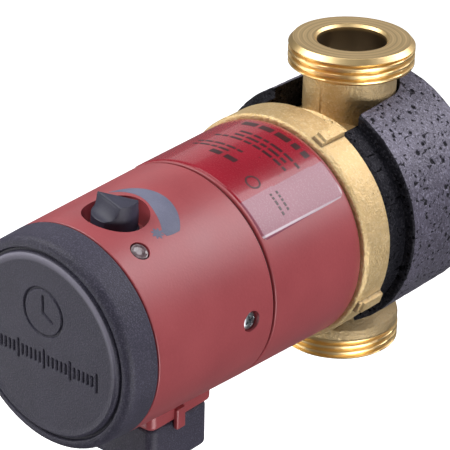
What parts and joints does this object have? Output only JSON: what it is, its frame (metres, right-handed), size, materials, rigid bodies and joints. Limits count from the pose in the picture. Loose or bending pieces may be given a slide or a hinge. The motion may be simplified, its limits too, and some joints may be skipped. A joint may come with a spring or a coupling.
{
  "type": "circulator pump",
  "caption": "Wet-rotor hot-water circulator pump: cast in-line housing with threaded ports, painted motor sleeve, foam shell, thermostat knob, timer under a pull-off cap, and a mains plug.",
  "frame": {"origin": "where the pipe axis crosses the motor axis, inside the housing, midway between the port faces", "axes": "+Z along the pipe axis towards the discharge port, motor axis along Y with the motor towards -Y, +X to the right seen from the motor end"},
  "size_m": [0.083, 0.1663, 0.116],
  "materials": {
    "cast_brass": "sand-cast, machined on the threads and faces",
    "foam": "moulded bead foam, matt with small pits",
    "seal_rubber": "matt black",
    "stainless": "drawn, satin",
    "spring_steel": "bright wire",
    "zinc_steel": "zinc plated",
    "bearing_ceramic": "ground",
    "carbon": "impregnated carbon",
    "rotor_iron": "ground and coated",
    "lamination_steel": "stacked sheet",
    "copper": "enamelled wire",
    "impeller_plastic": "glass-filled, satin",
    "valve_plastic": "satin",
    "red_paint": "satin paint",
    "label_film": "glossy laminated film",
    "sensor_brass": "turned",
    "slate_plastic": "moulded, satin",
    "board_plastic": "solder mask",
    "lamp_lens": "smoked clear",
    "capacitor_case": "sleeved",
    "black_plastic": "fine spark-eroded grain",
    "dial_plastic": "satin",
    "pin_plastic": "satin"
  },
  "bodies": {
    "pump_body": {"pump_housing": "cast_brass", "union_ring": "cast_brass", "insulation_shell": "foam", "housing_o_ring": "seal_rubber", "neck_ring": "stainless", "bearing_plate": "stainless", "front_bearing": "bearing_ceramic", "rear_bearing": "bearing_ceramic", "rotor_can": "stainless", "check_valve_seat": "valve_plastic", "check_valve_guide": "valve_plastic", "check_valve_spring": "spring_steel", "stator_core": "lamination_steel", "stator_winding": "copper", "stator_end_plate": "impeller_plastic", "stator_housing": "red_paint", "rating_label": "label_film", "seam_gasket": "seal_rubber", "temperature_sensor": "sensor_brass", "control_housing": "red_paint", "thermostat_potentiometer": "board_plastic", "status_lamp": "lamp_lens", "housing_screw_right": "zinc_steel", "housing_screw_left": "zinc_steel", "control_board": "board_plastic", "run_capacitor": "capacitor_case", "inlet_pin_block": "valve_plastic", "timer_case": "black_plastic", "timer_motor": "zinc_steel"},
    "rotor": {"rotor_shaft": "bearing_ceramic", "thrust_washer": "carbon", "rotor_core": "rotor_iron", "impeller": "impeller_plastic"},
    "valve_poppet": {"check_valve_poppet": "seal_rubber"},
    "knob": {"thermostat_knob": "slate_plastic"},
    "cap": {"end_cap": "black_plastic"},
    "plug": {"plug_body": "black_plastic", "cord_seal": "seal_rubber", "cord_nut": "black_plastic"},
    "dial": {"timer_dial": "dial_plastic"},
    "pins_1": {"switch_pins_1": "pin_plastic"},
    "pins_2": {"switch_pins_2": "pin_plastic"},
    "pins_3": {"switch_pins_3": "pin_plastic"},
    "pins_4": {"switch_pins_4": "pin_plastic"}
  },
  "joints": [
    {"name": "rotor_spin", "type": "hinge", "parent": "pump_body", "child": "rotor", "pos_m": [0, -0.05, 0], "axis": [0, 1, 0], "continuous": true},
    {"name": "check_valve_lift", "type": "slide", "parent": "pump_body", "child": "valve_poppet", "axis": [0, 0, 1], "range_m": [0, 0.004], "stiffness_N_per_m": 60, "springref_m": -0.005, "deforming": ["check_valve_spring"]},
    {"name": "thermostat_turn", "type": "hinge", "parent": "pump_body", "child": "knob", "pos_m": [0.00262, -0.117, 0.02989], "axis": [0.0872, 0, 0.9962], "range_deg": [-60, 210]},
    {"name": "cap_pull", "type": "slide", "parent": "pump_body", "child": "cap", "axis": [0, -1, 0], "range_m": [0, 0.03]},
    {"name": "plug_pull", "type": "slide", "parent": "pump_body", "child": "plug", "axis": [0, 0, -1], "range_m": [0, 0.022]},
    {"name": "dial_turn", "type": "hinge", "parent": "pump_body", "child": "dial", "pos_m": [0, -0.136, 0], "axis": [0, 1, 0], "continuous": true},
    {"name": "pins_1_push", "type": "slide", "parent": "dial", "child": "pins_1", "axis": [0, -1, 0], "range_m": [0, 0.0018]},
    {"name": "pins_2_push", "type": "slide", "parent": "dial", "child": "pins_2", "axis": [0, -1, 0], "range_m": [0, 0.0018]},
    {"name": "pins_3_push", "type": "slide", "parent": "dial", "child": "pins_3", "axis": [0, -1, 0], "range_m": [0, 0.0018]},
    {"name": "pins_4_push", "type": "slide", "parent": "dial", "child": "pins_4", "axis": [0, -1, 0], "range_m": [0, 0.0018]}
  ]
}
